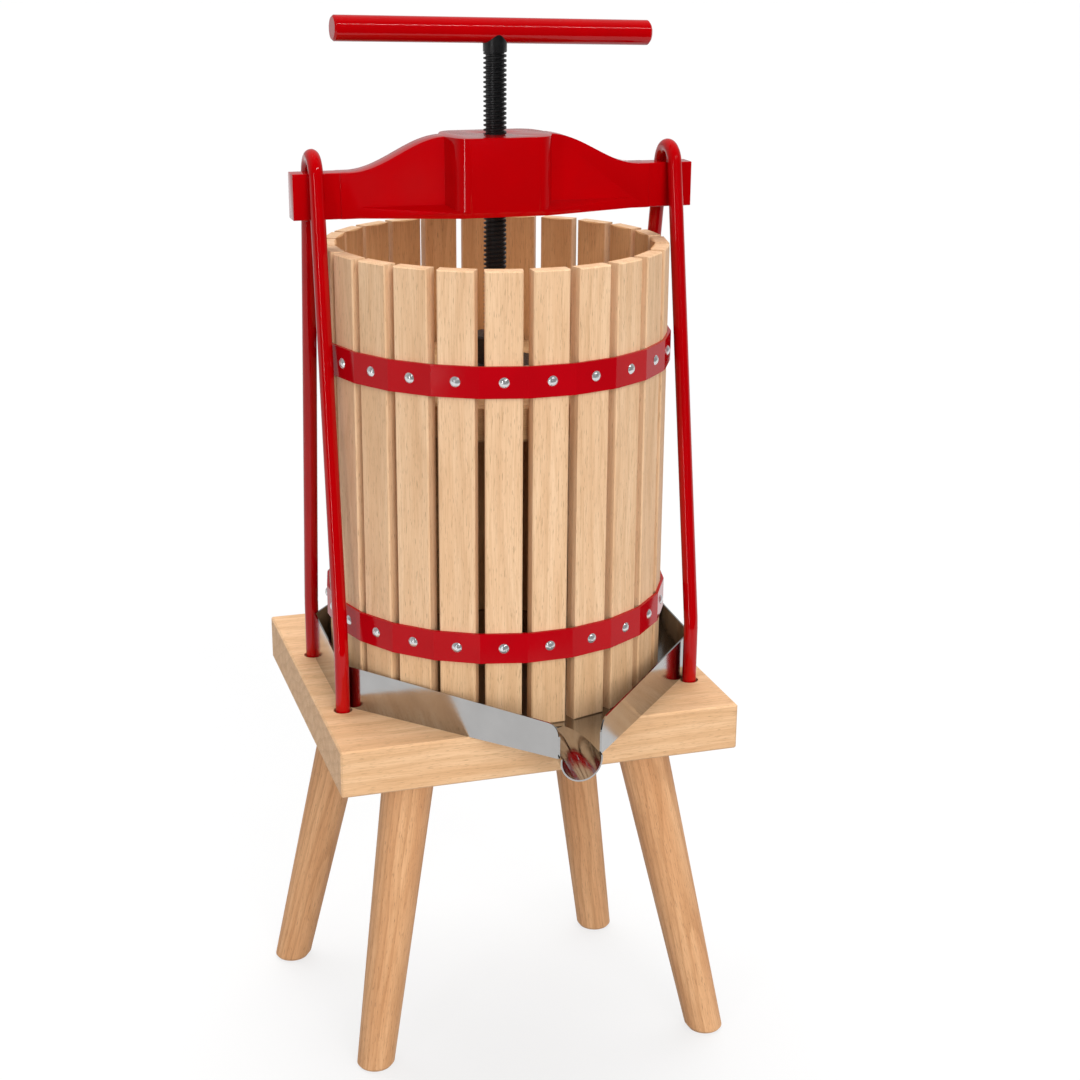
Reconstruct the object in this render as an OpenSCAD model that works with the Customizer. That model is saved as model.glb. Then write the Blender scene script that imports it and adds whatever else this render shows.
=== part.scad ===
// Fruit press with a slatted basket, a drip tray, a screw head on two tie rods and a wooden stool.
// Millimetres, +Z up. The origin is on the floor, in the middle of the footprint.
// The front, where the spout hangs over the stool, looks along -Y.

/* [Overall] */
// Radial room of a turned piece in its bore
running_fit = 0.06; // [0.02:0.01:0.1]
// Room of a piece that is slipped into its seat
seat_gap = 0.2; // [0.1:0.05:0.3]

/* [Stool] */
// Height of the stool's top face above the floor
stool_h = 269; // [220:1:330]
// Thickness of the board
board_t = 32; // [28:1:44]
// Width of board outside the middle of a rod
board_edge = 15.5; // [12:0.5:40]
// Depth of board in front of the staves
board_before = 3.8; // [2:0.1:20]
// Depth of board behind the tray
board_behind = 13; // [2:0.5:40]
// Eased edge round the board's top and bottom faces
board_ease = 1.2; // [0.5:0.1:4]

/* [Legs] */
// Diameter of a leg under the board
leg_top_d = 35; // [30:1:42]
// Diameter of a leg on the floor
leg_foot_d = 26; // [22:1:34]
// Distance of a leg's top from the board's side
leg_in_x = 55; // [40:1:65]
// Distance of a leg's top from the board's front or back
leg_in_y = 42; // [32:1:52]
// Sideways splay of the steeper legs, front left and back right
steep_splay_x = 25; // [15:1:45]
// Depthwise splay of the steeper legs
steep_splay_y = -15; // [-20:1:10]
// Sideways splay of the wider legs, front right and back left
wide_splay_x = 54; // [30:1:54]
// Depthwise splay of the wider legs
wide_splay_y = 8; // [0:1:20]
// Rounding of the edge of a foot
foot_round = 3; // [1:0.5:5]
// Diameter of the round tenon on a leg
tenon_d = 22; // [16:1:28]
// Length of the tenon in the board
tenon_len = 20; // [14:1:22]

/* [Drip tray] */
// Sheet thickness of the tray
tray_t = 1; // [0.8:0.1:2]
// Height of the tray's rim above the board, beside the screw axis
tray_h = 32; // [24:1:40]
// Fall of the rim towards the front
rim_slope = 3.2; // [0:0.1:4]
// Room between the staves and the nearest slanting wall
tray_room = 1.5; // [1:0.1:4]
// Room between the staves and the left wall
side_room = 4.2; // [3:0.1:8]
// Angle of the slanting walls' normals from the sideways axis
slant_angle = 42.7; // [40:0.1:45]
// How far the tray stands to the right of the screw axis
tray_right = 3; // [0:0.5:4]
// How far the spout stands to the right of the tray's middle
spout_right = 4.5; // [0:0.5:6]
// Width between the wall ends at the spout
spout_w = 29; // [28:0.5:40]
// Radius of the spout's gutter
gutter_r = 13; // [10:0.5:13.5]
// Fall of the gutter below the tray's floor at the lip
gutter_drop = 15; // [4:0.5:18]
// Gap between the board's front and the start of the gutter
gutter_gap = 2; // [1:0.5:6]
// How far the lip stands out beyond the wall ends
lip_out = 4; // [2:0.5:18]
// Rounding of the wall ends' top corners
wall_end_round = 8; // [3:0.5:12]

/* [Basket] */
// Inner diameter of the basket between flat staves
basket_d = 207.2; // [186:0.2:230]
// Thickness of a stave
stave_t = 10.6; // [9:0.2:12]
// Gap between two staves on the inside of the basket
stave_gap = 3.8; // [2:0.1:6]
// Height of a stave
stave_h = 298; // [260:1:340]
// Chamfer of a stave's long outer edges
stave_chamfer = 0.8; // [0.4:0.1:3]
// Crown of a stave's inner side
stave_crown = 1; // [0.5:0.1:2]
// Easing of a stave's ends
stave_ease = 0.8; // [0.4:0.1:3]
// Turn of the first stave from the front
stave_turn = 1.6; // [0:0.1:7]
// Angle by which the staves at the back have crept round
back_creep = 3.7; // [0:0.1:4]
// Height of a hoop
hoop_h = 20; // [14:1:26]
// Thickness of a hoop
hoop_t = 2; // [1.5:0.1:2.5]
// Middle of the lower hoop above the basket's foot
hoop_low = 55.5; // [48:0.5:90]
// Middle of the upper hoop above the basket's foot
hoop_high = 230; // [180:0.5:250]
// Length of the hoop's lap on the back stave
lap_len = 24; // [16:1:26]
// Diameter of a hoop screw's domed head
screw_head_d = 6.6; // [5:0.2:8]
// Height of a hoop screw's domed head
screw_head_h = 1.6; // [1:0.1:1.8]
// Diameter of a hoop screw's shank
screw_shank_d = 3.2; // [2.4:0.2:4]
// Depth of a hoop screw's shank in the stave
screw_shank_l = 7; // [4:0.5:8]

/* [Tie rods] */
// Diameter of a tie rod
rod_d = 9.6; // [8:0.2:11]
// Room between a rod and the staves
rod_room = 0.6; // [0.5:0.1:4]
// Room between a rod's foot and the tray
rod_tray_room = 1.2; // [0.8:0.1:4]
// Height above the board where a rod bends to stand upright
rod_bend_h = 42; // [34:1:60]
// Radius of that bend
rod_bend_r = 40; // [20:1:60]
// How much thinner a rod is where it is bent
bend_thin = 0.1; // [0.05:0.05:0.3]
// Room round a rod in its hole in the board
rod_hole_room = 1.5; // [0.8:0.1:2.5]
// Room between a rod's loop and the beam's sides
loop_room = 0.3; // [0.3:0.1:2]
// Width of a rod nut across its flats
nut_flats = 16; // [14:0.5:19]
// Height of a rod nut
nut_h = 8; // [6:0.5:10]
// Diameter of a rod washer
washer_d = 28; // [22:1:32]
// Thickness of a rod washer
washer_t = 2.5; // [1.5:0.5:4]
// Length of rod that shows below its nut
rod_tail = 5; // [2:1:10]

/* [Crossbeam] */
// Room between the staves' tops and the beam's underside
beam_clear = 19; // [14:1:60]
// Length of beam outside the middle of a rod
beam_over = 14; // [11:0.5:25]
// Length of an end block inside the middle of a rod
block_in = 16.5; // [12:0.5:24]
// Thickness of the end blocks
beam_t = 15; // [13:0.5:16]
// Thickness of the arms between the end blocks and the hub
arm_t = 16.6; // [15:0.2:18]
// Height of the end blocks
beam_end_h = 29; // [26:1:36]
// Height of the hub
hub_h = 50; // [44:0.5:52]
// Half length of the hub's flat top
hub_half = 34; // [24:1:40]
// Length of level arm between its sweep and the end block
arm_level = 6; // [3:0.5:20]
// Depth of the hub from front to back
hub_d = 52; // [40:1:60]
// Half width of the hub's front face
hub_face = 29.5; // [24:0.5:36]
// Half width of the hub where it leaves the arms
hub_root = 36; // [36:0.5:56]
// Length of arm between the flange's tip and the end of the sweep
flange_short = 6; // [3:0.5:20]
// Thickness of the flange's rim
flange_rim = 3.5; // [2:0.5:6]
// Rise of the flange towards the arm
flange_rise = 3.5; // [1:0.5:6]
// Chamfer on the long edges of the end blocks
beam_chamfer = 0.4; // [0.3:0.1:3]

/* [Screw and handle] */
// Diameter of the screw over its thread
screw_d = 15; // [12:0.5:15]
// Diameter of the plain neck above the thread
neck_d = 15.4; // [15.2:0.1:18]
// Height of the neck below the handle's middle
neck_h = 13; // [11:0.5:18]
// Height of the neck's foot above the hub
neck_lift = 51.5; // [51.5:0.5:70]
// Diameter of the handle bar
bar_d = 16; // [14:0.5:20]
// Length of the handle bar
bar_len = 214; // [160:1:240]
// Chamfer of the bar's ends
bar_chamfer = 1.2; // [0.5:0.1:3]
// Turn of the bar from the beam, seen from above
bar_turn = 4; // [-30:1:30]
// Lean of the bar out of level, left end up
bar_lean = 1.6; // [0:0.1:2]

/* [Press plate] */
// Height of the press disc's underside above the board
disc_lift = 188; // [150:1:195]
// Room between the disc and the staves
disc_gap = 5; // [3:0.5:8]
// Thickness of the disc
disc_t = 24; // [18:1:28]
// Easing of the disc's edges
disc_ease = 2; // [1:0.5:4]
// Diameter of the thrust socket's flange
socket_flange_d = 72; // [60:1:90]
// Thickness of the socket's flange
socket_flange_t = 5; // [4:0.5:7]
// Diameter of the socket's boss
socket_boss_d = 32; // [26:1:36]
// Height of the boss above its flange
socket_boss_h = 20; // [12:1:22]
// Slope at the boss's foot
boss_foot = 2; // [1:0.5:3]
// Chamfer of the boss's top edge
boss_chamfer = 1; // [0.5:0.5:2]
// Diameter of the screw's journal in the socket
journal_d = 10; // [8:0.5:11]
// Thickness of the retaining ring below the socket
ring_t = 2; // [1.5:0.5:3]
// Diameter of the retaining ring
ring_d = 18; // [15:1:20]
// Width of the ring's open side
ring_mouth = 6.4; // [4:0.2:7]
// Room round the ring and below the journal in the disc's recess
recess_room = 2; // [1:0.5:4]
// Depth of the ring's groove in the journal
groove_depth = 1; // [0.6:0.1:1.4]
// Length of journal below the ring
journal_tail = 3; // [2:0.5:4]
// Pitch circle of the socket's screws
socket_pcd = 52; // [48:1:62]
// Head diameter of a socket screw
socket_screw_head_d = 9; // [7:0.5:10]
// Shank diameter of a socket screw
socket_screw_d = 4.5; // [3.5:0.5:5]
// Depth of a socket screw in the disc
socket_screw_l = 15; // [10:1:16]

/* [Hidden] */
stave_n = 24;

$fn = 64;
cut_over = 1;
far = 1000;

// Heights of the main levels
board_low = stool_h - board_t;
basket_z = stool_h + tray_t;
beam_z = basket_z + stave_h + beam_clear;
hub_top = beam_z + hub_h;
neck_z = hub_top + neck_lift;
bar_z = neck_z + neck_h;
disc_z = stool_h + disc_lift;
disc_top = disc_z + disc_t;
boss_top = disc_top + socket_flange_t + socket_boss_h;
shoulder_z = boss_top + seat_gap;
ring_top = disc_top - seat_gap;
journal_low = ring_top - ring_t - seat_gap - journal_tail;

// Basket
stave_step = 360 / stave_n;
stave_in = basket_d / 2;
stave_out = stave_in + stave_t;
stave_w = basket_d * tan(stave_step / 2) - stave_gap;
stave_corner = norm([stave_out, stave_w / 2]);
hoop_out = stave_out + hoop_t;
back_stave = floor(stave_n / 2);
disc_r = stave_in - disc_gap;

// Drip tray, its walls' distances measured from the screw axis and from the tray's own middle
slant_cos = cos(slant_angle);
slant_sin = sin(slant_angle);
wall_left = stave_corner + tray_t + tray_room;
wall_right = wall_left + 2 * slant_cos * (tray_right + spout_right);
tray_slant = wall_left + slant_cos * tray_right;
tray_slant_right = tray_slant + 2 * slant_cos * spout_right;
tray_side = stave_corner + tray_t + side_room + tray_right;
wall_end_y = -(tray_slant + slant_cos * (spout_right - spout_w / 2)) / slant_sin;
wall_end_z = tray_h + wall_end_y * tan(rim_slope);
lip_y = wall_end_y - lip_out;

// Stool
rod_x = stave_corner + rod_d / 2 + rod_room;
board_w = 2 * (rod_x + board_edge);
board_front = -stave_out - board_before;
board_rear = tray_side + board_behind;
board_d = board_rear - board_front;
board_mid = (board_rear + board_front) / 2;
leg_top_x = board_w / 2 - leg_in_x;
leg_top_y = board_d / 2 - leg_in_y;
gutter_start = board_front - gutter_gap;
gutter_fall = atan2(gutter_drop, gutter_start - lip_y);
axis_back = -(lip_y + board_rear) / 2;

// Tie rods
loop_in = beam_t / 2 + loop_room;
loop_r = loop_in + rod_d / 2;
block_corner = beam_t / 2 - beam_chamfer;
loop_drop = sqrt(pow(loop_in - seat_gap, 2) - pow(block_corner, 2));
loop_z = beam_z + beam_end_h - loop_drop;
rod_bend_z = stool_h + rod_bend_h;
bend_lap = 0.5;
rod_low = board_low - washer_t - nut_h - rod_tail;
rod_feet = [for (sx = [-1, 1]) for (sy = [-1, 1]) [sx * rod_x, sy * rod_foot(sx)]];

// Crossbeam
beam_len = 2 * (rod_x + beam_over);
block_start = rod_x - block_in;
sweep_end = block_start - arm_level;
flange_half = sweep_end - flange_short;
arm_rise = hub_h - beam_end_h;
sweep_steps = 20;

// Socket screws
socket_screw_n = 4;
socket_screw_cone = (socket_screw_head_d - socket_screw_d) / 2;

// Colours
wood_pale = "burlywood";
wood_leg = "peru";
paint_red = "firebrick";
steel = "silver";
black_steel = "dimgray";

function stave_name(k) = str("stave_", k < 10 ? "0" : "", k);

// Depthwise distance of a rod's foot, just outside the slanting wall on its side
function rod_foot(side) =
  ((side < 0 ? wall_left : wall_right) + rod_d / 2 + rod_tray_room - slant_cos * rod_x) / slant_sin;

// Point where two walls meet, each given by its normal's angle and its distance
function meet(a, da, b, db) = [
  (da * sin(b) - db * sin(a)) / sin(b - a),
  (db * cos(a) - da * cos(b)) / sin(b - a)
];

// Outline of the tray's walls, moved inwards by inset and open at the spout
function tray_outline(inset, end_y) =
  let (
    near = tray_slant - inset,
    wide = tray_slant_right - inset,
    w = tray_side - inset,
    s = slant_angle
  ) [
    [(wide + slant_sin * end_y) / slant_cos, end_y],
    meet(-s, wide, 0, w),
    meet(0, w, s, near),
    meet(s, near, 90, w),
    meet(90, w, 180 - s, near),
    meet(180 - s, near, 180, w),
    meet(180, w, 180 + s, near),
    [-(near + slant_sin * end_y) / slant_cos, end_y]
  ];

// Corners of the outline that lies flat on the staves at a distance
function stave_ring(distance) = [
  for (k = [0 : stave_n - 1])
    let (a = stave_angle(k), b = stave_angle(k + 1), r = distance / cos((b - a) / 2))
      [r * cos((a + b) / 2), r * sin((a + b) / 2)]
];

function stave_angle(k) =
  -90 + stave_turn + k * stave_step + back_creep * pow(sin(180 * k / stave_n), 4);

function leg_foot(sx, sy) =
  let (splay = sx * sy > 0 ? [steep_splay_x, steep_splay_y] : [wide_splay_x, wide_splay_y])
    [sx * (leg_top_x + splay[0]), sy * (leg_top_y + splay[1])];

module at_axis(z = 0) {
  translate([0, axis_back, z]) children();
}

module at_board() {
  translate([0, axis_back + board_mid, 0]) children();
}

// A box with all its edges chamfered, standing on z = 0
module eased_box(w, d, h, ease) {
  intersection() {
    linear_extrude(h) eased_rect(w, d, ease);
    rotate([90, 0, 0]) linear_extrude(d + 2, center = true) translate([0, h / 2]) eased_rect(w, h, ease);
    rotate([90, 0, 90]) linear_extrude(w + 2, center = true) translate([0, h / 2]) eased_rect(d, h, ease);
  }
}

module eased_rect(w, h, ease) {
  x = w / 2;
  y = h / 2;
  polygon([
    [x - ease, -y], [x, -y + ease], [x, y - ease], [x - ease, y],
    [-x + ease, y], [-x, y - ease], [-x, -y + ease], [-x + ease, -y]
  ]);
}

// Turns the z axis down along a leg and puts the origin at the leg's top
module along_leg(sx, sy) {
  foot = leg_foot(sx, sy);
  run = [foot[0] - sx * leg_top_x, foot[1] - sy * leg_top_y];
  translate([sx * leg_top_x, sy * leg_top_y, board_low])
    rotate([0, 180 - atan2(norm(run), board_low), atan2(run[1], run[0])])
      children();
}

module stool_board() {
  color(wood_pale) difference() {
    at_board() {
      difference() {
        translate([0, 0, board_low]) eased_box(board_w, board_d, board_t, board_ease);
        for (sx = [-1, 1]) for (sy = [-1, 1])
          along_leg(sx, sy)
            translate([0, 0, -tenon_len - seat_gap])
              cylinder(h = 2 * tenon_len, d = tenon_d + 2 * seat_gap);
      }
    }
    for (p = rod_feet)
      at_axis(board_low - cut_over)
        translate([p[0], p[1], 0]) cylinder(h = board_t + 2 * cut_over, d = rod_d + 2 * rod_hole_room);
  }
}

// A tapered leg, cut level under the board and on the floor, with its tenon in the board
module leg(sx, sy) {
  foot = leg_foot(sx, sy);
  leg_len = norm([foot[0] - sx * leg_top_x, foot[1] - sy * leg_top_y, board_low]);
  over = leg_top_d;
  seam_turn = 50;
  slope = (leg_foot_d - leg_top_d) / leg_len;
  color(wood_leg) at_board() difference() {
    union() {
      intersection() {
        along_leg(sx, sy)
          rotate([0, 0, seam_turn]) translate([0, 0, -over])
            cylinder(h = leg_len + 2 * over, d1 = leg_top_d - slope * over, d2 = leg_foot_d + slope * over);
        translate([0, 0, board_low / 2]) cube([far, far, board_low], center = true);
      }
      along_leg(sx, sy)
        translate([0, 0, -tenon_len])
          cylinder(h = 2 * tenon_len, d = tenon_d);
    }
    translate([foot[0], foot[1], 0]) foot_rounding();
  }
}

// The ring that is turned off the edge of a foot in two slopes
module foot_rounding() {
  low_slope = 25;
  high_slope = 55;
  inner = leg_foot_d / 2 - foot_round;
  knee_run = 0.6 * foot_round;
  knee = [inner + knee_run, knee_run * tan(low_slope)];
  out = leg_foot_d;
  rotate_extrude() polygon([
    [inner - cut_over / tan(low_slope), -cut_over], [knee[0] + out, -cut_over],
    [knee[0] + out, knee[1] + out * tan(high_slope)], knee
  ]);
}

// A hairpin rod over a beam end, its two legs spreading to the board
module tie_rod(side) {
  foot = rod_foot(side);
  rise = loop_z - rod_bend_z;
  span = norm([foot, rise]);
  lean = atan2(foot, rise) - asin(loop_r / span);
  reach = rod_bend_r * tan(lean / 2);
  bend_low = rod_bend_z - reach;
  straight = sqrt(span * span - loop_r * loop_r) - reach;
  color(paint_red) at_axis() translate([side * rod_x, 0, 0]) {
    translate([0, 0, loop_z]) rotate([90, 0, 90]) rotate([0, 0, lean]) rod_bend(loop_r, 180 - 2 * lean);
    for (back = [0, 1]) mirror([0, back, 0]) {
      translate([0, foot - rod_bend_r, bend_low]) rotate([90, 0, 90]) {
        rod_bend(rod_bend_r, lean);
        rotate([0, 0, lean])
          translate([rod_bend_r, -bend_lap, 0])
            rotate([-90, 0, 0]) cylinder(h = straight + 2 * bend_lap, d = rod_d);
      }
      translate([0, foot, rod_low]) cylinder(h = bend_low + bend_lap - rod_low, d = rod_d);
    }
  }
}

module rod_bend(radius, angle) {
  rotate_extrude(angle = angle) translate([radius, 0]) circle(d = rod_d - bend_thin);
}

module rod_washers() {
  color(steel) for (p = rod_feet)
    at_axis(board_low - washer_t) translate([p[0], p[1], 0]) difference() {
      cylinder(h = washer_t, d = washer_d);
      translate([0, 0, -cut_over]) cylinder(h = washer_t + 2 * cut_over, d = rod_d + 2 * seat_gap);
    }
}

module rod_nuts() {
  color(steel) for (p = rod_feet)
    at_axis(board_low - washer_t - nut_h) translate([p[0], p[1], 0]) difference() {
      cylinder(h = nut_h, d = nut_flats / cos(30), $fn = 6);
      translate([0, 0, -cut_over]) cylinder(h = nut_h + 2 * cut_over, d = rod_d + 2 * running_fit);
    }
}

// Folded sheet: a floor, an open ring of walls and a gutter that falls over the board's edge
module drip_tray() {
  color(steel) at_axis(stool_h) translate([tray_right, 0, 0]) difference() {
    union() {
      linear_extrude(tray_t) polygon(tray_outline(0, wall_end_y));
      tray_walls();
      intersection() {
        gutter_bar(gutter_r + tray_t);
        translate([-far / 2, lip_y, -far]) cube([far, gutter_start - lip_y, far + tray_t]);
      }
    }
    intersection() {
      gutter_bar(gutter_r);
      translate([-far / 2, -far, -far / 2]) cube([far, far + gutter_start, far]);
    }
  }
}

module tray_walls() {
  difference() {
    linear_extrude(2 * tray_h) difference() {
      polygon(tray_outline(0, wall_end_y));
      polygon(tray_outline(tray_t, wall_end_y - cut_over));
    }
    translate([0, 0, tray_h])
      rotate([rim_slope, 0, 0])
        translate([-far / 2, -far / 2, 0]) cube(far);
    translate([spout_right, 0, 0])
      for (left = [0, 1]) mirror([left, 0, 0]) wall_end_cut();
  }
}

// Rounds the free top corner of the right wall beside the spout, on to the rising rim
module wall_end_cut() {
  rise = atan(slant_cos * tan(rim_slope));
  r = wall_end_round;
  over = r + cut_over;
  centre = -r * (1 - sin(rise)) / cos(rise);
  top = centre + over * cos(rise);
  translate([spout_w / 2, wall_end_y, wall_end_z])
    rotate([90, 0, 90 - slant_angle])
      linear_extrude(4 * tray_t, center = true) difference() {
        polygon([[-cut_over, centre], [r, centre], [r - over * sin(rise), top], [-cut_over, top]]);
        translate([r, centre]) circle(r = r);
      }
}

// A long round bar that dips from the tray's floor towards the lip
module gutter_bar(r) {
  bar_half = far / 10;
  translate([spout_right, gutter_start, tray_t + gutter_r])
    rotate([90 + gutter_fall, 0, 0])
      cylinder(h = 2 * bar_half, r = r, center = true);
}

// Cross-section of a stave, its outer side at distance stave_out along +X
module stave_section() {
  half = stave_w / 2;
  crown_r = (half * half + stave_crown * stave_crown) / (2 * stave_crown);
  intersection() {
    polygon([
      [stave_out, -half + stave_chamfer], [stave_out, half - stave_chamfer],
      [stave_out - stave_chamfer, half], [stave_in, half],
      [stave_in, -half], [stave_out - stave_chamfer, -half]
    ]);
    translate([stave_in + crown_r, 0]) circle(r = crown_r);
  }
}

module stave(k) {
  color(wood_pale) at_axis(basket_z) rotate([0, 0, stave_angle(k - 1)]) difference() {
    intersection() {
      linear_extrude(stave_h) stave_section();
      translate([stave_out - stave_t / 2, 0, 0])
        eased_box(stave_t, stave_w + 2 * stave_ease, stave_h, stave_ease);
    }
    for (z = [hoop_low, hoop_high])
      translate([stave_out - screw_shank_l - seat_gap, 0, z])
        rotate([0, 90, 0])
          cylinder(h = screw_shank_l + seat_gap + cut_over, d = screw_shank_d + 2 * running_fit);
  }
}

// A flat strip bent round the staves, lapped on the back stave
module hoop(height) {
  color(paint_red) at_axis(basket_z + height) difference() {
    union() {
      linear_extrude(hoop_h, center = true) difference() {
        polygon(stave_ring(hoop_out));
        polygon(stave_ring(stave_out));
      }
      rotate([0, 0, stave_angle(back_stave)])
        translate([hoop_out, 0, 0]) cube([2 * hoop_t, lap_len, hoop_h], center = true);
    }
    for (k = [0 : stave_n - 1])
      rotate([0, 0, stave_angle(k)])
        translate([stave_out - cut_over, 0, 0])
          rotate([0, 90, 0])
            cylinder(h = 2 * hoop_t + 2 * cut_over, d = screw_shank_d + 2 * running_fit);
  }
}

// One domed screw through the strip into each stave
module hoop_screws(height) {
  color(steel) at_axis(basket_z + height)
    for (k = [0 : stave_n - 1])
      rotate([0, 0, stave_angle(k)])
        translate([hoop_out + (k == back_stave ? hoop_t : 0), 0, 0]) rotate([0, 90, 0]) hoop_screw(k);
}

module hoop_screw(k) {
  head_r = screw_head_d / 2;
  dome_r = (head_r * head_r + screw_head_h * screw_head_h) / (2 * screw_head_h);
  shank = screw_shank_l + hoop_t * (k == back_stave ? 2 : 1);
  rotate_extrude() union() {
    intersection() {
      translate([0, screw_head_h - dome_r]) circle(r = dome_r);
      square([head_r, screw_head_h]);
    }
    translate([0, -shank]) square([screw_shank_d / 2, shank + screw_head_h / 2]);
  }
}

// Point on the arm's top edge, from the hub at 0 to the end block's level at 1
function sweep(t) = [
  hub_half + t * (sweep_end - hub_half),
  beam_end_h + arm_rise * (1 + cos(180 * t)) / 2
];

function flip(points) = [for (k = [len(points) - 1 : -1 : 0]) [-points[k][0], points[k][1]]];

// Front view of the beam: flat hub, arms that sweep down, and end blocks
module beam_front() {
  right_side = concat(
    [for (k = [0 : sweep_steps]) sweep(k / sweep_steps)],
    [[beam_len / 2, beam_end_h], [beam_len / 2, 0]]
  );
  polygon(concat(right_side, flip(right_side)));
}

// Top view of the beam: straight arms with the hub swelling in the middle
module beam_plan() {
  square([beam_len, beam_t], center = true);
  square([2 * block_start, arm_t], center = true);
  hub_plan(hub_face, hub_root);
}

// A six-sided outline, wide at the hub and drawn in to the arms
module hub_plan(face, root) {
  y = hub_d / 2;
  arm = arm_t / 2;
  polygon([
    [-root, -arm], [-face, -y], [face, -y], [root, -arm],
    [root, arm], [face, y], [-face, y], [-root, arm]
  ]);
}

module crossbeam() {
  color(paint_red) at_axis(beam_z) difference() {
    union() {
      intersection() {
        rotate([90, 0, 0]) linear_extrude(hub_d + 2, center = true) beam_front();
        linear_extrude(hub_h) beam_plan();
      }
      intersection() {
        linear_extrude(flange_rim + flange_rise) hub_plan(hub_face, flange_half);
        rotate([90, 0, 90]) linear_extrude(beam_len, center = true) flange_section();
      }
    }
    translate([0, 0, -cut_over]) cylinder(h = hub_h + 2 * cut_over, d = screw_d + 2 * running_fit);
    for (side = [-1, 1]) translate([side * beam_len / 2, 0, 0]) block_edges();
  }
}

// Side view of the flange, falling from the arm to the rim
module flange_section() {
  arm = arm_t / 2;
  y = hub_d / 2;
  polygon([
    [-y, 0], [y, 0], [y, flange_rim], [arm, flange_rim + flange_rise],
    [-arm, flange_rim + flange_rise], [-y, flange_rim]
  ]);
}

// The wedges that are taken off the long edges of an end block
module block_edges() {
  reach = 2 * (beam_len / 2 - block_start) - 2 * cut_over;
  for (sy = [-1, 1]) for (z = [0, beam_end_h])
    translate([0, sy * beam_t / 2, z])
      rotate([45, 0, 0]) cube([reach, beam_chamfer * sqrt(2), beam_chamfer * sqrt(2)], center = true);
}

// Places the level bar on top of the neck
module on_neck() {
  at_axis(bar_z) rotate([0, bar_lean, bar_turn]) rotate([0, 90, 0]) children();
}

module handle_bar() {
  color(paint_red) on_neck() rotate_extrude() polygon([
    [0, -bar_len / 2], [bar_d / 2 - bar_chamfer, -bar_len / 2], [bar_d / 2, -bar_len / 2 + bar_chamfer],
    [bar_d / 2, bar_len / 2 - bar_chamfer], [bar_d / 2 - bar_chamfer, bar_len / 2], [0, bar_len / 2]
  ]);
}

// The screw with its neck notched for the bar and a grooved journal at its foot
module press_screw() {
  groove_top = ring_top + seat_gap / 2;
  groove_low = ring_top - ring_t - seat_gap / 2;
  color(black_steel) difference() {
    at_axis() rotate_extrude() polygon([
      [0, journal_low], [journal_d / 2, journal_low],
      [journal_d / 2, groove_low], [journal_d / 2 - groove_depth, groove_low],
      [journal_d / 2 - groove_depth, groove_top], [journal_d / 2, groove_top],
      [journal_d / 2, shoulder_z], [screw_d / 2, shoulder_z],
      [screw_d / 2, neck_z], [neck_d / 2, neck_z], [neck_d / 2, bar_z], [0, bar_z]
    ]);
    on_neck() cylinder(h = bar_len, d = bar_d + 2 * running_fit, center = true);
  }
}

// Wooden disc with a recess for the end of the journal
module press_disc() {
  recess_low = journal_low - recess_room;
  color(wood_pale) at_axis() difference() {
    translate([0, 0, disc_z]) rotate_extrude() polygon([
      [0, 0], [disc_r - disc_ease, 0], [disc_r, disc_ease],
      [disc_r, disc_t - disc_ease], [disc_r - disc_ease, disc_t], [0, disc_t]
    ]);
    translate([0, 0, recess_low])
      cylinder(h = disc_top - recess_low + cut_over, d = ring_d + 2 * recess_room);
    at_socket_screws()
      translate([0, 0, -socket_screw_l - seat_gap])
        cylinder(h = socket_screw_l + seat_gap + cut_over, d = socket_screw_d + 2 * running_fit);
  }
}

// Places a child at each socket screw, on the disc's top
module at_socket_screws() {
  for (k = [0 : socket_screw_n - 1])
    rotate([0, 0, (k + 0.5) * 360 / socket_screw_n]) translate([socket_pcd / 2, 0, disc_top]) children();
}

// Flanged socket in which the journal turns
module thrust_socket() {
  socket_top = socket_flange_t + socket_boss_h;
  color(steel) at_axis() difference() {
    translate([0, 0, disc_top]) rotate_extrude() polygon([
      [0, 0], [socket_flange_d / 2, 0], [socket_flange_d / 2, socket_flange_t],
      [socket_boss_d / 2 + boss_foot, socket_flange_t], [socket_boss_d / 2, socket_flange_t + boss_foot],
      [socket_boss_d / 2, socket_top - boss_chamfer],
      [socket_boss_d / 2 - boss_chamfer, socket_top], [0, socket_top]
    ]);
    translate([0, 0, disc_top - cut_over])
      cylinder(h = boss_top - disc_top + 2 * cut_over, d = journal_d + 2 * running_fit);
    at_socket_screws() socket_screw_body(running_fit, socket_flange_t + cut_over);
  }
}

// A countersunk screw flush with the socket's flange, grown by clearance
module socket_screw_body(clearance, head_top) {
  head = socket_screw_head_d / 2 + clearance;
  shank = socket_screw_d / 2 + clearance;
  cone_low = socket_flange_t - socket_screw_cone;
  rotate_extrude() polygon([
    [0, -socket_screw_l], [shank, -socket_screw_l], [shank, cone_low],
    [head, socket_flange_t], [head, head_top], [0, head_top]
  ]);
}

module socket_screws() {
  color(steel) at_axis() at_socket_screws() socket_screw_body(0, socket_flange_t);
}

// Open ring that snaps into the journal's groove
module retaining_ring() {
  bore = journal_d - 2 * groove_depth;
  color(steel) at_axis(ring_top - ring_t) difference() {
    cylinder(h = ring_t, d = ring_d);
    translate([0, 0, -cut_over]) cylinder(h = ring_t + 2 * cut_over, d = bore + 2 * running_fit);
    translate([0, -ring_mouth / 2, -cut_over]) cube([ring_d, ring_mouth, ring_t + 2 * cut_over]);
  }
}

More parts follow.
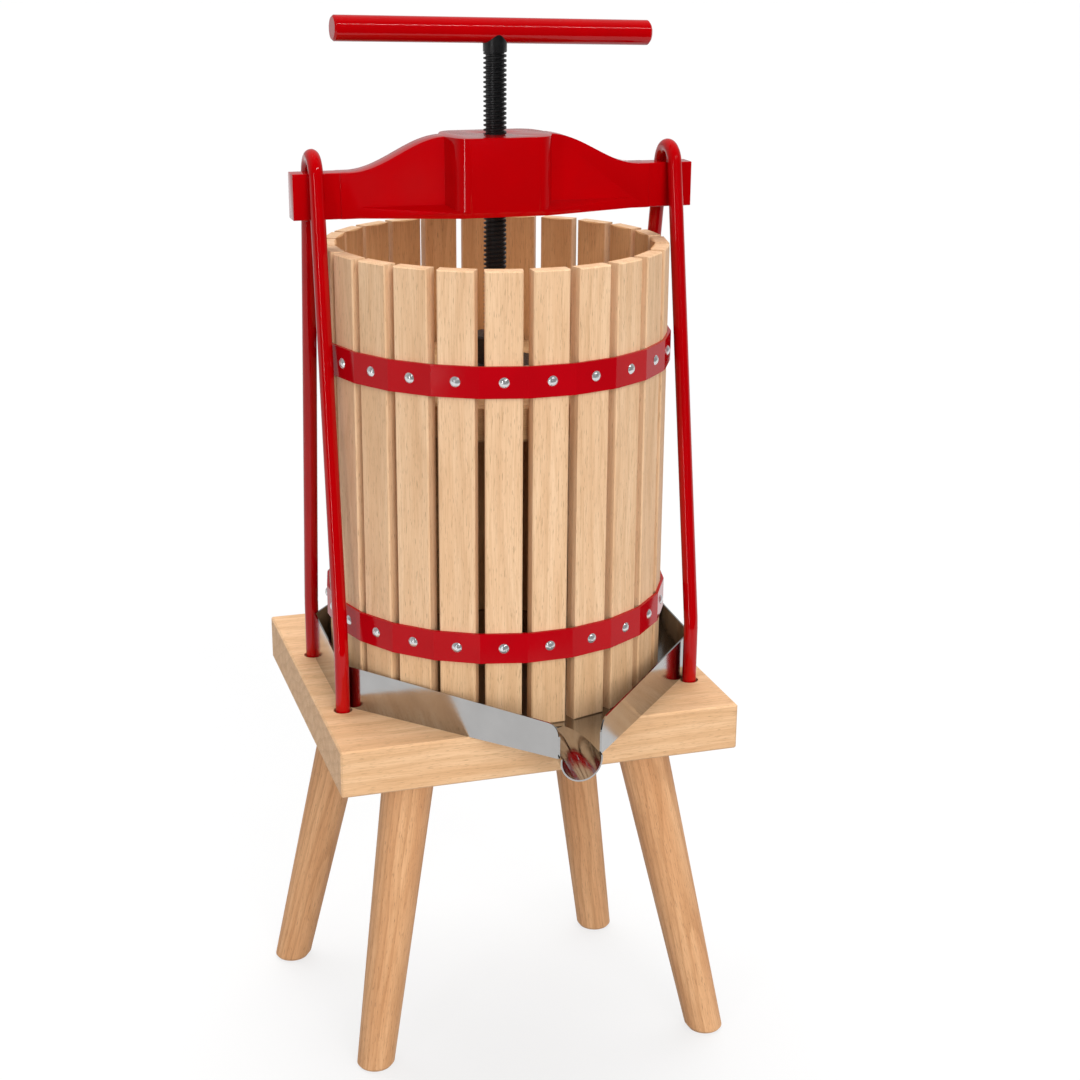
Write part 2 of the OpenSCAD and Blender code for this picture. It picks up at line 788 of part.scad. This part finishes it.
stool_board();
leg(-1, -1);  // leg_front_left
leg(1, -1);  // leg_front_right
leg(-1, 1);  // leg_back_left
leg(1, 1);  // leg_back_right
tie_rod(-1);  // tie_rod_left
tie_rod(1);  // tie_rod_right
rod_washers();
rod_nuts();
drip_tray();
for (k = [1 : stave_n]) stave(k);
hoop(hoop_low);  // hoop_lower
hoop(hoop_high);  // hoop_upper
hoop_screws(hoop_low);  // hoop_lower_screws
hoop_screws(hoop_high);  // hoop_upper_screws
crossbeam();
press_screw();
handle_bar();
press_disc();
thrust_socket();
socket_screws();
retaining_ring();
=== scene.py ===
"""Looks of the fruit press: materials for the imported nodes, the screw's thread, light and camera."""

import math

import bmesh
import bpy
from mathutils import Matrix, Vector


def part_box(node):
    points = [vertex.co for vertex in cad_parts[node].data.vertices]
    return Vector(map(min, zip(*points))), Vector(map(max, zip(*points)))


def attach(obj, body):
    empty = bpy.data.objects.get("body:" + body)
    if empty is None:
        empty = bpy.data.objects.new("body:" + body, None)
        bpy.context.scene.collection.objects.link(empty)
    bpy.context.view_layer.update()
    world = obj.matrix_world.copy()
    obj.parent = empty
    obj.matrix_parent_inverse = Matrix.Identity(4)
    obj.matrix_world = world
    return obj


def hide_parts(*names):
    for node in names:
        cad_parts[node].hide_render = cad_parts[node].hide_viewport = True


MM = 0.001  # metres in a millimetre
WELD = 1e-6  # metres within which corners are joined

# Threads of the screw and of the tie rods' tails, in millimetres
SCREW_R = 7.5
SCREW_PITCH = 3.0
SCREW_GROOVE = 1.5
NECK_LIFT = 51.5  # from the crossbeam's top to the screw's neck
SEAT_GAP = 0.2  # from the socket's top to the screw's shoulder
OVERLAP = 1.0  # of the screw's thread with the plain pieces at its ends
ROD_R = 4.8
ROD_PITCH = 1.5
ROD_CREST = 0.3  # of the rods' thread above the plain rod
ROD_GROOVE = 0.27

# Sides of one turn of a thread, and the corners of its profile as shares of the pitch and of the depth
THREAD_SIDES = 56
THREAD_PROFILE = ((0.0, 1.0), (0.36, 1.0), (0.5, 0.0), (0.86, 0.0))

# Rounded edges of the casting, in millimetres, and the facets that each has
BEAM_EDGE = 1.2
BEAM_FACETS = 3
HUB_EDGE = 8.0
HUB_FACETS = 8
HUB_REACH = 60.0  # from the middle, a little beyond the hub's corners

# Degrees between two faces: joined up to the first, rounded from the second, a crease from the third
JOINED_UP_TO = 0.5
ROUNDED_FROM = 24
CREASED_FROM = 32

# Wood: fineness of each pattern, per millimetre in two directions across the fibres and along them
RING_SWAY = (0.02, 0.02, 0.006)
PATCHES = (0.11, 0.11, 0.008)
FIBRES = (1.5, 1.5, 0.045)
PORES = (2.3, 2.3, 0.16)

# Wood: values of each pattern between which its colour comes in
LATE_WOOD = (0.45, 0.92)
RING_END = (1.0, 0.93)
PATCH_RANGE = (0.3, 0.7)
FIBRE_RANGE = (0.35, 0.75)
PORE_RANGE = (0.62, 0.72)

# Wood: strength of the patterns
SWAY_RINGS = 3.0  # widths of a ring by which the sway moves it
FIBRE_SHARE = 0.4
PORE_SHARE = 0.5
PORE_TONE = 0.55
WOOD_ROUGH = (0.52, 0.7)
WOOD_RELIEF = 0.12  # in millimetres

# Wood: how far apart in the tree the staves and the legs are cut
STAVE_SPREAD = (5e3, 3e3, 9e3)
LEG_SPREAD = 37.0

# Painted shade on the staves: a darker colour for the basket's inside and for the staves' feet in the tray,
# where shade falls
INNER_PAINTED_SHADE = (0.86, 0.72, 0.54, 1.0)
FOOT_PAINTED_SHADE = (0.93, 0.9, 0.84, 1.0)
STAVE_INNER = 103.6  # from the axis to the staves, in millimetres
INNER_SHADE_FADE = (2.0, 1.2)  # from there to where the painted shade begins and is full, in millimetres

# Brightness of the surroundings and of the floor for each kind of ray
SKY_ABOVE = 0.5
SKY_BELOW = 0.15
MIRRORED_FRONT = 0.0
MIRRORED_BACK = 0.5
FLOOR_TONE = 0.2
FLOOR_SEEN = 0.74
FLOOR_MIRRORED = 0.7
FLOOR_BOUNCE = 0.08

# Shares of a direction, upwards and backwards, between which the surroundings change
SKY_FADE = (-0.5, 0.2)
MIRROR_FADE = (-0.5, 0.6)

# Extent of the floor and point at which the lamps look, in metres
FLOOR_REACH = 40.0
FLOOR_FRONT = -0.85
LAMP_AIM = (0, 0, 0.5)

# Camera fitted to the photograph: millimetres from the screw axis on the board's top, angles in radians
CAMERA_AT = (-347.06, -1194.04, 504.93)
CAMERA_YAW = 0.3079
CAMERA_PITCH = 0.32102
CAMERA_ROLL = 0.0077
CAMERA_LENS = 63.1
SENSOR = 36.0


def srgb(r, g, b):
    """Linear colour of an 8-bit screen colour."""
    def linear(c):
        c /= 255
        return c / 12.92 if c <= 0.04045 else ((c + 0.055) / 1.055) ** 2.4
    return (linear(r), linear(g), linear(b), 1.0)


def darker(color, share):
    return tuple(share * c for c in color[:3]) + (1.0,)


# Pale, middle and deep tone of each wood
STAVE_TONES = (srgb(238, 201, 162), srgb(228, 187, 146), srgb(196, 151, 108))
BOARD_TONES = (srgb(238, 197, 154), srgb(226, 181, 136), srgb(192, 143, 97))
DISC_TONES = (srgb(208, 168, 122), srgb(190, 148, 102), srgb(150, 106, 66))
LEG_TONES = (srgb(231, 180, 133), srgb(216, 160, 113), srgb(180, 125, 79))

# Two tones between which each metal varies
SHEET_TONES = (srgb(183, 182, 181), srgb(166, 165, 164))
ZINC_TONES = (srgb(230, 231, 232), srgb(208, 210, 212))
BLACK_TONES = (srgb(20, 20, 21), srgb(34, 34, 35))
IRON_TONES = (srgb(62, 59, 56), srgb(44, 42, 40))

# Paint
RED = srgb(175, 0, 5)
HOOP_RED = srgb(178, 5, 17)

SOCKETS = {
    "color": "Base Color",
    "metallic": "Metallic",
    "roughness": "Roughness",
    "specular": "Specular IOR Level",
    "normal": "Normal",
    "glow_color": "Emission Color",
    "glow": "Emission Strength",
}


class Shader:
    """A material's node tree with short calls for the nodes that are used here."""

    def __init__(self, name):
        self.material = bpy.data.materials.new(name)
        self.material.use_nodes = True
        self.tree = self.material.node_tree
        self.bsdf = self.tree.nodes["Principled BSDF"]

    def add(self, kind, *inputs, **settings):
        node = self.tree.nodes.new(kind)
        for key, value in settings.items():
            setattr(node, key, value)
        for index, value in enumerate(inputs):
            self.put(node.inputs[index], value)
        return node

    def put(self, socket, value):
        if isinstance(value, bpy.types.NodeSocket):
            self.tree.links.new(value, socket)
        elif value is not None:
            socket.default_value = value

    def set(self, **values):
        for key, value in values.items():
            self.put(self.bsdf.inputs[SOCKETS[key]], value)

    def math(self, operation, *values):
        return self.add("ShaderNodeMath", *values, operation=operation).outputs[0]

    def vector(self, operation, *values):
        node = self.add("ShaderNodeVectorMath", *values, operation=operation)
        return node.outputs["Value" if operation in ("DOT_PRODUCT", "LENGTH") else "Vector"]

    def split(self, vector):
        return self.add("ShaderNodeSeparateXYZ", vector).outputs

    def join(self, x, y, z):
        return self.add("ShaderNodeCombineXYZ", x, y, z).outputs[0]

    def scaled(self, vector, factors):
        return self.vector("MULTIPLY", vector, factors)

    def millimetres(self, origin=(0.0, 0.0, 0.0)):
        """Position in the part's frame, in millimetres from origin."""
        place = self.add("ShaderNodeTexCoord").outputs["Object"]
        return self.vector("SUBTRACT", self.scaled(place, (1 / MM,) * 3), origin)

    def noise(self, vector, scale=1.0, detail=3.0):
        node = self.add("ShaderNodeTexNoise")
        for key, value in (("Vector", vector), ("Scale", scale), ("Detail", detail)):
            self.put(node.inputs[key], value)
        return node.outputs["Fac"]

    def remap(self, value, low, high, to_low=0.0, to_high=1.0):
        node = self.add("ShaderNodeMapRange", value, low, high, to_low, to_high)
        node.interpolation_type = "SMOOTHSTEP"
        return node.outputs["Result"]

    def mix(self, factor, a, b, blend="MIX"):
        node = self.add("ShaderNodeMix", data_type="RGBA", blend_type=blend)
        for index, value in ((0, factor), (6, a), (7, b)):
            self.put(node.inputs[index], value)
        return node.outputs[2]

    def bump(self, height, distance, strength, normal=None):
        node = self.add("ShaderNodeBump")
        inputs = {"Height": height, "Distance": distance, "Strength": strength, "Normal": normal}
        for key, value in inputs.items():
            self.put(node.inputs[key], value)
        return node.outputs["Normal"]


def wood(shader, grain, tones, ring_mm, ring_lean, ring_share, shade_tints=()):
    """Bare planed wood.

    grain is a vector in millimetres whose third part runs along the fibres. The year rings are ring_mm
    wide in the direction ring_lean. shade_tints are pairs of a share and a colour of painted shade that
    darkens the wood.
    """
    pale, tan, deep = tones
    sway = shader.noise(shader.scaled(grain, RING_SWAY), detail=2.0)
    across = shader.math("DIVIDE", shader.vector("DOT_PRODUCT", grain, ring_lean), ring_mm)
    ring = shader.math("FRACT", shader.math("ADD", across, shader.math("MULTIPLY", sway, SWAY_RINGS)))
    late = shader.math("MULTIPLY", shader.remap(ring, *LATE_WOOD), shader.remap(ring, *RING_END))
    patch = shader.noise(shader.scaled(grain, PATCHES), detail=4.0)
    fibre = shader.noise(shader.scaled(grain, FIBRES))
    pores = shader.remap(shader.noise(shader.scaled(grain, PORES), detail=1.0), *PORE_RANGE)
    color = shader.mix(shader.remap(patch, *PATCH_RANGE), pale, tan)
    color = shader.mix(shader.math("MULTIPLY", late, ring_share), color, deep)
    color = shader.mix(shader.remap(fibre, *FIBRE_RANGE, to_high=FIBRE_SHARE), color, deep)
    color = shader.mix(shader.math("MULTIPLY", pores, PORE_SHARE), color, darker(deep, PORE_TONE))
    # Painted shade: each shade tint darkens the wood by its share
    for share, shade_tint in shade_tints:
        color = shader.mix(share, color, shade_tint, "MULTIPLY")
    height = shader.math("SUBTRACT", shader.math("MULTIPLY", fibre, 0.5), pores)
    shader.set(color=color, roughness=shader.remap(fibre, 0.2, 0.8, *WOOD_ROUGH), specular=0.4,
               normal=shader.bump(height, WOOD_RELIEF * MM, strength=0.5))
    return shader.material


def stave_wood():
    """Upright grain, cut from another place of the tree for each stave, with painted shade inside and at the
    foot.
    """
    shader = Shader("stave_wood_look")
    cut = shader.add("ShaderNodeObjectInfo").outputs["Random"]
    shift = shader.scaled(shader.join(cut, cut, cut), STAVE_SPREAD)
    place = shader.millimetres(tuple(axis / MM))
    radius = shader.vector("LENGTH", shader.scaled(place, (1.0, 1.0, 0.0)))
    # Painted shade: darker towards the basket's inside
    inner_shade = shader.remap(radius, *(STAVE_INNER + depth for depth in INNER_SHADE_FADE))
    # Painted shade: darker over the lower hoop's height and below it, at the staves' feet
    hoop_low, hoop_high = ((corner.z - axis.z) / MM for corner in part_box("hoop_lower"))
    foot = shader.remap(shader.split(place)[2], hoop_high, hoop_low)
    grain = shader.vector("ADD", place, shift)
    return wood(shader, grain, STAVE_TONES, ring_mm=9.0, ring_lean=(0.8, 0.6, 0.012), ring_share=0.22,
                shade_tints=((inner_shade, INNER_PAINTED_SHADE), (foot, FOOT_PAINTED_SHADE)))


def plank_wood(name, tones, origin):
    """Wood whose grain runs along X. origin, in millimetres, says where in the tree it is cut."""
    shader = Shader(name)
    x, y, z = shader.split(shader.millimetres(origin))
    grain = shader.join(y, z, x)
    return wood(shader, grain, tones, ring_mm=8.0, ring_lean=(0.45, 0.9, 0.02), ring_share=0.25)


def leg_wood(name, top, foot):
    """Wood whose grain runs along a leg, with rings that show as arches on the round side."""
    shader = Shader(name)
    along = (foot - top).normalized()
    side = along.cross(Vector((0, 1, 0))).normalized()
    place = shader.millimetres(tuple(foot))
    parts = [shader.vector("DOT_PRODUCT", place, tuple(line)) for line in (side, along.cross(side), along)]
    grain = shader.vector("ADD", shader.join(*parts), tuple(LEG_SPREAD * foot))
    return wood(shader, grain, LEG_TONES, ring_mm=4.5, ring_lean=(0.4, 0.9, 0.03), ring_share=0.4)


def paint(name, color, gloss):
    """Gloss enamel with a faint orange peel."""
    shader = Shader(name)
    place = shader.millimetres()
    patch = shader.noise(place, scale=0.03)
    peel = shader.noise(place, scale=0.55, detail=2.0)
    shader.set(color=shader.mix(shader.remap(patch, 0.35, 0.65), color, darker(color, 0.93)), specular=gloss,
               roughness=shader.remap(patch, 0.3, 0.7, to_low=0.07, to_high=0.12),
               normal=shader.bump(peel, 0.02 * MM, strength=0.2))
    return shader.material


def sheet_steel():
    """Polished sheet with fine level scratches and slight waves."""
    shader = Shader("stainless_look")
    place = shader.millimetres()
    scratch = shader.noise(shader.scaled(place, (0.05, 0.05, 4.0)))
    wave = shader.noise(place, scale=0.018, detail=2.0)
    smear = shader.noise(place, scale=0.05)
    scratched = shader.bump(scratch, 0.03 * MM, strength=0.3)
    shader.set(color=shader.mix(smear, *SHEET_TONES), metallic=1.0,
               roughness=shader.remap(scratch, 0.3, 0.7, to_low=0.08, to_high=0.15),
               normal=shader.bump(wave, 1.2 * MM, strength=0.3, normal=scratched))
    return shader.material


def metal(name, tones, scale, metallic, rough, relief):
    """Grainy metal. rough is the range of its roughness, relief its grain's height in millimetres."""
    shader = Shader(name)
    grit = shader.noise(shader.millimetres(), scale, detail=4.0)
    shader.set(color=shader.mix(grit, *tones), metallic=metallic,
               roughness=shader.remap(grit, 0.3, 0.7, *rough),
               normal=shader.bump(grit, relief * MM, strength=0.35))
    return shader.material


def dress(material, *nodes):
    for node in nodes:
        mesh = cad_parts[node].data
        mesh.materials.clear()
        mesh.materials.append(material)


def new_piece(name, mesh, body, material):
    piece = bpy.data.objects.new(name, mesh)
    bpy.context.scene.collection.objects.link(piece)
    mesh.materials.clear()
    mesh.materials.append(material)
    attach(piece, body)
    return piece


def welded_copy(node):
    """The node's mesh in a new bmesh, with the faces of the solid joined along their edges."""
    shape = bmesh.new()
    shape.from_mesh(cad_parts[node].data)
    bmesh.ops.remove_doubles(shape, verts=shape.verts, dist=WELD)
    return shape


def joined_mesh(name, shapes):
    """One smoothly shaded mesh of several bmeshes, which are freed."""
    mesh = bpy.data.meshes.new(name)
    whole = bmesh.new()
    for shape in shapes:
        shape.to_mesh(mesh)
        whole.from_mesh(mesh)
        shape.free()
    whole.to_mesh(mesh)
    whole.free()
    mesh.shade_smooth()
    mesh.set_sharp_from_angle(angle=math.radians(CREASED_FROM))
    return mesh


def is_sharp(edge):
    return edge.calc_face_angle(0.0) > math.radians(ROUNDED_FROM)


def is_hub_corner(edge):
    """An upright corner at the front or back face of the hub."""
    a, b = (v.co for v in edge.verts)
    upright = abs(a.z - b.z) > 0.9 * (a - b).length
    return upright and edge.is_convex and is_sharp(edge) and abs(a.x) < HUB_REACH * MM


def soften_beam(material):
    """The crossbeam with the rounded edges of a painted casting."""
    shape = welded_copy("crossbeam")
    bmesh.ops.dissolve_limit(shape, angle_limit=math.radians(JOINED_UP_TO), verts=shape.verts,
                             edges=shape.edges)
    for size, facets, chosen in ((HUB_EDGE, HUB_FACETS, is_hub_corner), (BEAM_EDGE, BEAM_FACETS, is_sharp)):
        edges = [e for e in shape.edges if chosen(e)]
        bmesh.ops.bevel(shape, geom=edges, offset=size * MM, offset_type="OFFSET", segments=facets,
                        profile=0.5, affect="EDGES", clamp_overlap=chosen is is_sharp)
    piece = new_piece("beam_casting", joined_mesh("beam_casting", [shape]), "stand", material)
    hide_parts("crossbeam")


def cut_level(shape, low, high):
    """Cuts a bmesh off below and above two heights and closes the cuts."""
    for height, up in ((low, -1), (high, 1)):
        cut = bmesh.ops.bisect_plane(shape, geom=shape.verts[:] + shape.edges[:] + shape.faces[:],
                                     plane_co=(0, 0, height), plane_no=(0, 0, up), clear_outer=True)
        rim = [e for e in cut["geom_cut"] if isinstance(e, bmesh.types.BMEdge)]
        if rim:
            bmesh.ops.contextual_create(shape, geom=rim)
    bmesh.ops.delete(shape, geom=[v for v in shape.verts if not v.link_faces], context="VERTS")
    return shape


def thread_shape(centre, low, high, radius, depth, pitch):
    """A closed right-hand trapezoidal thread about an upright axis, between two heights, in metres."""
    corners = len(THREAD_PROFILE)
    turns = range(math.floor(low / pitch) - 2, math.ceil(high / pitch) + 2)
    rows = [((turn + phase) * pitch, radius - sunk * depth)
            for turn in turns for phase, sunk in THREAD_PROFILE]
    steps = [(2 * math.pi * k / THREAD_SIDES, pitch * k / THREAD_SIDES) for k in range(THREAD_SIDES)]
    shape = bmesh.new()
    grid = []
    for z, r in rows:
        ring = [(centre[0] + r * math.cos(a), centre[1] + r * math.sin(a), z + rise) for a, rise in steps]
        grid.append([shape.verts.new(spot) for spot in ring])
    for j in range(len(rows) - corners - 1):
        for k in range(THREAD_SIDES):
            following = j + (corners if k == THREAD_SIDES - 1 else 0)
            n = (k + 1) % THREAD_SIDES
            shape.faces.new((grid[j][k], grid[following][n], grid[following + 1][n], grid[j + 1][k]))
    return cut_level(shape, low, high)


def thread_screw(material):
    """The screw with its real thread between the shoulder and the neck."""
    low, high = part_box("press_screw")
    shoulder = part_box("thrust_socket")[1].z + SEAT_GAP * MM
    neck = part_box("crossbeam")[1].z + NECK_LIFT * MM
    overlap = OVERLAP * MM
    thread = thread_shape(axis, shoulder, neck + overlap, SCREW_R * MM, SCREW_GROOVE * MM, SCREW_PITCH * MM)
    journal = cut_level(welded_copy("press_screw"), low.z - overlap, shoulder + overlap)
    head = cut_level(welded_copy("press_screw"), neck, high.z + overlap)
    mesh = joined_mesh("screw_threaded", [thread, journal, head])
    piece = new_piece("screw_threaded", mesh, "screw", material)
    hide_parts("press_screw")


def thread_rod_ends(material):
    """Threads on the rods' tails below their nuts."""
    shapes = []
    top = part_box("rod_nuts")[0].z
    for node in ("tie_rod_left", "tie_rod_right"):
        low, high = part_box(node)
        x = (low.x + high.x) / 2
        for y in (low.y + ROD_R * MM, high.y - ROD_R * MM):
            shapes.append(thread_shape((x, y), low.z, top, (ROD_R + ROD_CREST) * MM, ROD_GROOVE * MM,
                                       ROD_PITCH * MM))
    new_piece("rod_threads", joined_mesh("rod_threads", shapes), "stand", material)


def mean_point(node, low, high):
    """Middle, in millimetres, of a node's vertices between two heights in metres."""
    spots = [v.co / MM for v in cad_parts[node].data.vertices if low <= v.co.z <= high]
    return sum(spots, Vector()) / len(spots)


def dress_legs():
    """Wood for each leg, with its grain from the board's underside to the foot."""
    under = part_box("stool_board")[0].z
    for node in ("leg_front_left", "leg_front_right", "leg_back_left", "leg_back_right"):
        top = mean_point(node, under - MM, under + MM)
        foot = mean_point(node, 0.0, MM)
        dress(leg_wood(node + "_wood", top, foot), node)


def add_world():
    """White behind the object, soft light from above for matt faces, and a dark front for reflections."""
    world = bpy.data.worlds.new("studio")
    bpy.context.scene.world = world
    world.use_nodes = True
    tree = world.node_tree
    path = tree.nodes.new("ShaderNodeLightPath")
    direction = tree.nodes.new("ShaderNodeSeparateXYZ")
    tree.links.new(tree.nodes.new("ShaderNodeTexCoord").outputs["Generated"], direction.inputs[0])

    def fading(part, start, end, low, high):
        node = tree.nodes.new("ShaderNodeMapRange")
        tree.links.new(direction.outputs[part], node.inputs["Value"])
        for key, value in (("From Min", start), ("From Max", end), ("To Min", low), ("To Max", high)):
            node.inputs[key].default_value = value
        return node.outputs["Result"]

    def chosen(ray, otherwise):
        node = tree.nodes.new("ShaderNodeMix")
        tree.links.new(path.outputs[ray], node.inputs["Factor"])
        tree.links.new(otherwise, node.inputs["A"])
        return node

    matt = fading("Z", *SKY_FADE, SKY_BELOW, SKY_ABOVE)
    mirrored = chosen("Is Glossy Ray", matt)
    tree.links.new(fading("Y", *MIRROR_FADE, MIRRORED_FRONT, MIRRORED_BACK), mirrored.inputs["B"])
    seen = chosen("Is Camera Ray", mirrored.outputs["Result"])
    seen.inputs["B"].default_value = 1.0
    # The world isn't sampled as a lamp, so that the kinds of ray hold for all of its light
    world.cycles.sampling_method = "NONE"
    background = tree.nodes["Background"]
    background.inputs["Color"].default_value = (1, 1, 1, 1)
    tree.links.new(seen.outputs["Result"], background.inputs["Strength"])


def add_floor():
    """A pale floor that looks white where nothing shades it and ends before the dark front of the studio."""
    reach, front = FLOOR_REACH, FLOOR_FRONT
    mesh = bpy.data.meshes.new("floor")
    mesh.from_pydata([(-reach, front, 0), (reach, front, 0), (reach, reach, 0), (-reach, reach, 0)], [],
                     [(0, 1, 2, 3)])
    floor = bpy.data.objects.new("floor", mesh)
    bpy.context.scene.collection.objects.link(floor)
    shader = Shader("floor_look")
    cloud = shader.noise(shader.millimetres(), scale=0.02, detail=2.0)
    tone = (FLOOR_TONE, FLOOR_TONE, FLOOR_TONE, 1)
    ray = shader.add("ShaderNodeLightPath").outputs
    glow = FLOOR_BOUNCE
    for kind, level in (("Is Camera Ray", FLOOR_SEEN), ("Is Glossy Ray", FLOOR_MIRRORED)):
        glow = shader.math("MULTIPLY_ADD", ray[kind], level - FLOOR_BOUNCE, glow)
    shader.set(color=shader.mix(cloud, tone, darker(tone, 0.97)), roughness=0.9, specular=0.0,
               glow_color=(1, 1, 1, 1), glow=glow)
    mesh.materials.append(shader.material)


def aimed_lamp(name, data, place):
    """A lamp that looks at the middle of the object and isn't seen itself."""
    lamp = bpy.data.objects.new(name, data)
    bpy.context.scene.collection.objects.link(lamp)
    lamp.location = place
    lamp.rotation_euler = (Vector(LAMP_AIM) - Vector(place)).to_track_quat("-Z", "Y").to_euler()
    lamp.visible_camera = False
    return lamp


def add_strip(name, place, size, power):
    """A narrow lamp that draws the bright lines on the paint. Its width and height are in metres."""
    data = bpy.data.lights.new(name, "AREA")
    data.shape = "RECTANGLE"
    data.size, data.size_y = size
    data.energy = power
    aimed_lamp(name, data, place)


def add_softbox(name, place, spread, strength):
    """Broad even light from far off that shows in no reflection. Its spread is in degrees."""
    data = bpy.data.lights.new(name, "SUN")
    data.angle = math.radians(spread)
    data.energy = strength
    aimed_lamp(name, data, place).visible_glossy = False


def add_camera():
    data = bpy.data.cameras.new("camera")
    data.sensor_width = SENSOR
    data.lens = CAMERA_LENS
    camera = bpy.data.objects.new("camera", data)
    bpy.context.scene.collection.objects.link(camera)
    yaw, pitch, roll = CAMERA_YAW, CAMERA_PITCH, CAMERA_ROLL
    ahead = Vector((math.sin(yaw) * math.cos(pitch), math.cos(yaw) * math.cos(pitch), -math.sin(pitch)))
    level = Vector((math.cos(yaw), -math.sin(yaw), 0))
    upright = level.cross(ahead)
    right = math.cos(roll) * level + math.sin(roll) * upright
    up = math.cos(roll) * upright - math.sin(roll) * level
    turn = Matrix((right, up, -ahead)).transposed().to_4x4()
    board_top = Vector((axis.x, axis.y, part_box("stool_board")[1].z))
    camera.matrix_world = Matrix.Translation(board_top + Vector(CAMERA_AT) * MM) @ turn
    bpy.context.scene.camera = camera


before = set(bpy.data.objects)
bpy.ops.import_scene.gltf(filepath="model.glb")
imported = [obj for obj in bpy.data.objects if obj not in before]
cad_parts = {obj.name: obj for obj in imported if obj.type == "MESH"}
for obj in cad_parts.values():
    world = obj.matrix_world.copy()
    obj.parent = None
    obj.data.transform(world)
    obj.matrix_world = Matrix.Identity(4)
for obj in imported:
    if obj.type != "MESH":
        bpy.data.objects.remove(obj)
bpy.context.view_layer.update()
axis = sum(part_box("press_screw"), Vector()) / 2

red = paint("red_paint_look", RED, gloss=0.3)
hoop_red = paint("hoop_paint_look", HOOP_RED, gloss=0.14)
zinc = metal("zinc_look", ZINC_TONES, scale=0.9, metallic=0.72, rough=(0.2, 0.28), relief=0.02)
black = metal("black_steel_look", BLACK_TONES, scale=0.25, metallic=0.3, rough=(0.3, 0.45), relief=0.1)
iron = metal("cast_iron_look", IRON_TONES, scale=0.7, metallic=0.4, rough=(0.38, 0.55), relief=0.2)

dress(stave_wood(), *[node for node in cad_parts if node.startswith("stave_")])
dress(plank_wood("board_wood_look", BOARD_TONES, origin=(0.0, 0.0, 900.0)), "stool_board")
dress(plank_wood("disc_wood_look", DISC_TONES, origin=(500.0, 300.0, 100.0)), "press_disc")
dress_legs()
dress(red, "tie_rod_left", "tie_rod_right", "handle_bar", "crossbeam")
dress(hoop_red, "hoop_lower", "hoop_upper")
dress(sheet_steel(), "drip_tray")
dress(zinc, "hoop_lower_screws", "hoop_upper_screws", "rod_washers", "rod_nuts", "socket_screws",
      "retaining_ring")
dress(black, "press_screw")
dress(iron, "thrust_socket")
soften_beam(red)
thread_screw(black)
thread_rod_ends(zinc)

add_world()
add_floor()
add_softbox("front_box", (0.07, -2.25, 1.2), spread=35, strength=1.75)
add_softbox("top_box", (0.1, 0.7, 2.5), spread=50, strength=2.35)
add_strip("level_strip", (0.6, -1.6, 2.04), size=(1.8, 0.05), power=9)
add_strip("upright_strip", (-1.6, -1.6, 0.6), size=(0.12, 1.8), power=8)
add_camera()

bpy.context.scene.view_settings.view_transform = "Standard"
